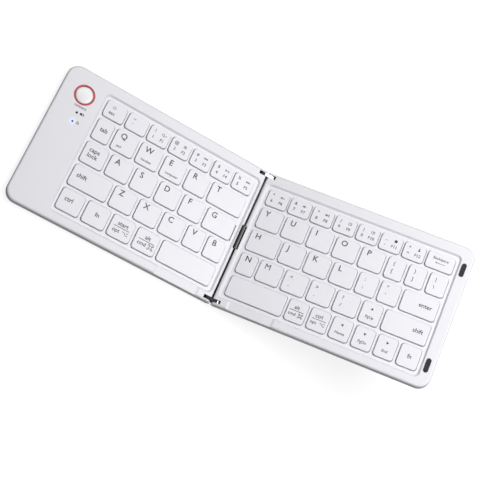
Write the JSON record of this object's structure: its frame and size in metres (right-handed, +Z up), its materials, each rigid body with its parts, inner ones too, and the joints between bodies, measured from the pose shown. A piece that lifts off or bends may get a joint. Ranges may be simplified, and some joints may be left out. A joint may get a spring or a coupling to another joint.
{
  "type": "folding keyboard",
  "caption": "Folding pocket keyboard that closes like a book on a pinned link hinge, with sprung low-profile keys and a round connect button.",
  "frame": {"origin": "middle of the keyboard's footprint on the desk, at the underside of the feet", "axes": "+X from the half with the connect button to the half that is folded up, +Y towards the rear edge with the number row, +Z up"},
  "size_m": [0.2808, 0.098, 0.0681],
  "materials": {
    "case": "satin",
    "cover": "satin",
    "keycap": "satin",
    "plate": "brushed",
    "sheet": "matte",
    "scissor": "satin",
    "board": "satin",
    "cell": "satin",
    "connector": "satin",
    "button": "gloss",
    "ring": "gloss",
    "lens": "gloss",
    "foot": "matte",
    "magnet": "polished",
    "link": "satin",
    "pin": "satin",
    "spine": "gloss",
    "cable": "gloss"
  },
  "bodies": {
    "left_half": {"left_bottom_cover": "cover", "left_top_frame": "case", "left_support_plate": "plate", "left_switch_sheet": "sheet", "left_scissors": "scissor", "main_board": "board", "battery": "cell", "charge_port": "connector", "connect_ring": "ring", "status_lenses": "lens", "left_feet": "foot", "left_magnets": "magnet"},
    "hinge_link": {"front_hinge_link": "link", "rear_hinge_link": "link", "hinge_pins": "pin", "hinge_spine": "spine", "hinge_flex_cable": "cable"},
    "right_half": {"right_bottom_cover": "cover", "right_top_frame": "case", "right_support_plate": "plate", "right_switch_sheet": "sheet", "right_scissors": "scissor", "right_feet": "foot", "right_magnets": "magnet", "bumpers": "foot"},
    "connect_button": {"connect_button": "button"},
    "key_q": {"key_q": "keycap"},
    "key_w": {"key_w": "keycap"},
    "key_e": {"key_e": "keycap"},
    "key_r": {"key_r": "keycap"},
    "key_t": {"key_t": "keycap"},
    "key_a": {"key_a": "keycap"},
    "key_s": {"key_s": "keycap"},
    "key_d": {"key_d": "keycap"},
    "key_f": {"key_f": "keycap"},
    "key_g": {"key_g": "keycap"},
    "key_z": {"key_z": "keycap"},
    "key_x": {"key_x": "keycap"},
    "key_c": {"key_c": "keycap"},
    "key_v": {"key_v": "keycap"},
    "key_b": {"key_b": "keycap"},
    "key_left_space": {"key_left_space": "keycap"},
    "key_y": {"key_y": "keycap"},
    "key_u": {"key_u": "keycap"},
    "key_i": {"key_i": "keycap"},
    "key_o": {"key_o": "keycap"},
    "key_p": {"key_p": "keycap"},
    "key_h": {"key_h": "keycap"},
    "key_j": {"key_j": "keycap"},
    "key_k": {"key_k": "keycap"},
    "key_l": {"key_l": "keycap"},
    "key_n": {"key_n": "keycap"},
    "key_m": {"key_m": "keycap"},
    "key_right_space": {"key_right_space": "keycap"},
    "key_enter": {"key_enter": "keycap"},
    "left_number_keys": {"left_number_keys": "keycap"},
    "left_function_keys": {"left_function_keys": "keycap"},
    "right_number_keys": {"right_number_keys": "keycap"},
    "right_symbol_keys": {"right_symbol_keys": "keycap"},
    "right_function_keys": {"right_function_keys": "keycap"}
  },
  "joints": [
    {"name": "left_fold", "type": "hinge", "parent": "left_half", "child": "hinge_link", "pos_m": [0.0026, 0, 0.0042], "axis": [0, -1, 0], "range_deg": [-12.45, 77.55], "deforming": ["hinge_flex_cable"]},
    {"name": "right_fold", "type": "hinge", "parent": "hinge_link", "child": "right_half", "pos_m": [0.00944, 0, 0.00571], "axis": [0, -1, 0], "range_deg": [-12.45, 77.55], "deforming": ["hinge_flex_cable"]},
    {"name": "connect_press", "type": "slide", "parent": "left_half", "child": "connect_button", "axis": [0, 0, -1], "range_m": [0, 0.0004], "stiffness_N_per_m": 1500, "springref_m": -0.0005},
    {"name": "key_q_press", "type": "slide", "parent": "left_half", "child": "key_q", "axis": [0, 0, -1], "range_m": [0, 0.0014], "stiffness_N_per_m": 300, "springref_m": -0.0005, "deforming": ["left_switch_sheet", "left_scissors"]},
    {"name": "key_w_press", "type": "slide", "parent": "left_half", "child": "key_w", "axis": [0, 0, -1], "range_m": [0, 0.0014], "stiffness_N_per_m": 300, "springref_m": -0.0005, "deforming": ["left_switch_sheet", "left_scissors"]},
    {"name": "key_e_press", "type": "slide", "parent": "left_half", "child": "key_e", "axis": [0, 0, -1], "range_m": [0, 0.0014], "stiffness_N_per_m": 300, "springref_m": -0.0005, "deforming": ["left_switch_sheet", "left_scissors"]},
    {"name": "key_r_press", "type": "slide", "parent": "left_half", "child": "key_r", "axis": [0, 0, -1], "range_m": [0, 0.0014], "stiffness_N_per_m": 300, "springref_m": -0.0005, "deforming": ["left_switch_sheet", "left_scissors"]},
    {"name": "key_t_press", "type": "slide", "parent": "left_half", "child": "key_t", "axis": [0, 0, -1], "range_m": [0, 0.0014], "stiffness_N_per_m": 300, "springref_m": -0.0005, "deforming": ["left_switch_sheet", "left_scissors"]},
    {"name": "key_a_press", "type": "slide", "parent": "left_half", "child": "key_a", "axis": [0, 0, -1], "range_m": [0, 0.0014], "stiffness_N_per_m": 300, "springref_m": -0.0005, "deforming": ["left_switch_sheet", "left_scissors"]},
    {"name": "key_s_press", "type": "slide", "parent": "left_half", "child": "key_s", "axis": [0, 0, -1], "range_m": [0, 0.0014], "stiffness_N_per_m": 300, "springref_m": -0.0005, "deforming": ["left_switch_sheet", "left_scissors"]},
    {"name": "key_d_press", "type": "slide", "parent": "left_half", "child": "key_d", "axis": [0, 0, -1], "range_m": [0, 0.0014], "stiffness_N_per_m": 300, "springref_m": -0.0005, "deforming": ["left_switch_sheet", "left_scissors"]},
    {"name": "key_f_press", "type": "slide", "parent": "left_half", "child": "key_f", "axis": [0, 0, -1], "range_m": [0, 0.0014], "stiffness_N_per_m": 300, "springref_m": -0.0005, "deforming": ["left_switch_sheet", "left_scissors"]},
    {"name": "key_g_press", "type": "slide", "parent": "left_half", "child": "key_g", "axis": [0, 0, -1], "range_m": [0, 0.0014], "stiffness_N_per_m": 300, "springref_m": -0.0005, "deforming": ["left_switch_sheet", "left_scissors"]},
    {"name": "key_z_press", "type": "slide", "parent": "left_half", "child": "key_z", "axis": [0, 0, -1], "range_m": [0, 0.0014], "stiffness_N_per_m": 300, "springref_m": -0.0005, "deforming": ["left_switch_sheet", "left_scissors"]},
    {"name": "key_x_press", "type": "slide", "parent": "left_half", "child": "key_x", "axis": [0, 0, -1], "range_m": [0, 0.0014], "stiffness_N_per_m": 300, "springref_m": -0.0005, "deforming": ["left_switch_sheet", "left_scissors"]},
    {"name": "key_c_press", "type": "slide", "parent": "left_half", "child": "key_c", "axis": [0, 0, -1], "range_m": [0, 0.0014], "stiffness_N_per_m": 300, "springref_m": -0.0005, "deforming": ["left_switch_sheet", "left_scissors"]},
    {"name": "key_v_press", "type": "slide", "parent": "left_half", "child": "key_v", "axis": [0, 0, -1], "range_m": [0, 0.0014], "stiffness_N_per_m": 300, "springref_m": -0.0005, "deforming": ["left_switch_sheet", "left_scissors"]},
    {"name": "key_b_press", "type": "slide", "parent": "left_half", "child": "key_b", "axis": [0, 0, -1], "range_m": [0, 0.0014], "stiffness_N_per_m": 300, "springref_m": -0.0005, "deforming": ["left_switch_sheet", "left_scissors"]},
    {"name": "key_left_space_press", "type": "slide", "parent": "left_half", "child": "key_left_space", "axis": [0, 0, -1], "range_m": [0, 0.0014], "stiffness_N_per_m": 300, "springref_m": -0.0005, "deforming": ["left_switch_sheet", "left_scissors"]},
    {"name": "key_y_press", "type": "slide", "parent": "right_half", "child": "key_y", "axis": [0.421, 0, -0.907], "range_m": [0, 0.0014], "stiffness_N_per_m": 300, "springref_m": -0.0005, "deforming": ["right_switch_sheet", "right_scissors"]},
    {"name": "key_u_press", "type": "slide", "parent": "right_half", "child": "key_u", "axis": [0.421, 0, -0.907], "range_m": [0, 0.0014], "stiffness_N_per_m": 300, "springref_m": -0.0005, "deforming": ["right_switch_sheet", "right_scissors"]},
    {"name": "key_i_press", "type": "slide", "parent": "right_half", "child": "key_i", "axis": [0.421, 0, -0.907], "range_m": [0, 0.0014], "stiffness_N_per_m": 300, "springref_m": -0.0005, "deforming": ["right_switch_sheet", "right_scissors"]},
    {"name": "key_o_press", "type": "slide", "parent": "right_half", "child": "key_o", "axis": [0.421, 0, -0.907], "range_m": [0, 0.0014], "stiffness_N_per_m": 300, "springref_m": -0.0005, "deforming": ["right_switch_sheet", "right_scissors"]},
    {"name": "key_p_press", "type": "slide", "parent": "right_half", "child": "key_p", "axis": [0.421, 0, -0.907], "range_m": [0, 0.0014], "stiffness_N_per_m": 300, "springref_m": -0.0005, "deforming": ["right_switch_sheet", "right_scissors"]},
    {"name": "key_h_press", "type": "slide", "parent": "right_half", "child": "key_h", "axis": [0.421, 0, -0.907], "range_m": [0, 0.0014], "stiffness_N_per_m": 300, "springref_m": -0.0005, "deforming": ["right_switch_sheet", "right_scissors"]},
    {"name": "key_j_press", "type": "slide", "parent": "right_half", "child": "key_j", "axis": [0.421, 0, -0.907], "range_m": [0, 0.0014], "stiffness_N_per_m": 300, "springref_m": -0.0005, "deforming": ["right_switch_sheet", "right_scissors"]},
    {"name": "key_k_press", "type": "slide", "parent": "right_half", "child": "key_k", "axis": [0.421, 0, -0.907], "range_m": [0, 0.0014], "stiffness_N_per_m": 300, "springref_m": -0.0005, "deforming": ["right_switch_sheet", "right_scissors"]},
    {"name": "key_l_press", "type": "slide", "parent": "right_half", "child": "key_l", "axis": [0.421, 0, -0.907], "range_m": [0, 0.0014], "stiffness_N_per_m": 300, "springref_m": -0.0005, "deforming": ["right_switch_sheet", "right_scissors"]},
    {"name": "key_n_press", "type": "slide", "parent": "right_half", "child": "key_n", "axis": [0.421, 0, -0.907], "range_m": [0, 0.0014], "stiffness_N_per_m": 300, "springref_m": -0.0005, "deforming": ["right_switch_sheet", "right_scissors"]},
    {"name": "key_m_press", "type": "slide", "parent": "right_half", "child": "key_m", "axis": [0.421, 0, -0.907], "range_m": [0, 0.0014], "stiffness_N_per_m": 300, "springref_m": -0.0005, "deforming": ["right_switch_sheet", "right_scissors"]},
    {"name": "key_right_space_press", "type": "slide", "parent": "right_half", "child": "key_right_space", "axis": [0.421, 0, -0.907], "range_m": [0, 0.0014], "stiffness_N_per_m": 300, "springref_m": -0.0005, "deforming": ["right_switch_sheet", "right_scissors"]},
    {"name": "key_enter_press", "type": "slide", "parent": "right_half", "child": "key_enter", "axis": [0.421, 0, -0.907], "range_m": [0, 0.0014], "stiffness_N_per_m": 300, "springref_m": -0.0005, "deforming": ["right_switch_sheet", "right_scissors"]},
    {"name": "left_number_keys_press", "type": "slide", "parent": "left_half", "child": "left_number_keys", "axis": [0, 0, -1], "range_m": [0, 0.0014], "stiffness_N_per_m": 2100, "springref_m": -0.0005, "deforming": ["left_switch_sheet", "left_scissors"]},
    {"name": "left_function_keys_press", "type": "slide", "parent": "left_half", "child": "left_function_keys", "axis": [0, 0, -1], "range_m": [0, 0.0014], "stiffness_N_per_m": 2100, "springref_m": -0.0005, "deforming": ["left_switch_sheet", "left_scissors"]},
    {"name": "right_number_keys_press", "type": "slide", "parent": "right_half", "child": "right_number_keys", "axis": [0.421, 0, -0.907], "range_m": [0, 0.0014], "stiffness_N_per_m": 2400, "springref_m": -0.0005, "deforming": ["right_switch_sheet", "right_scissors"]},
    {"name": "right_symbol_keys_press", "type": "slide", "parent": "right_half", "child": "right_symbol_keys", "axis": [0.421, 0, -0.907], "range_m": [0, 0.0014], "stiffness_N_per_m": 2400, "springref_m": -0.0005, "deforming": ["right_switch_sheet", "right_scissors"]},
    {"name": "right_function_keys_press", "type": "slide", "parent": "right_half", "child": "right_function_keys", "axis": [0.421, 0, -0.907], "range_m": [0, 0.0014], "stiffness_N_per_m": 2400, "springref_m": -0.0005, "deforming": ["right_switch_sheet", "right_scissors"]}
  ]
}
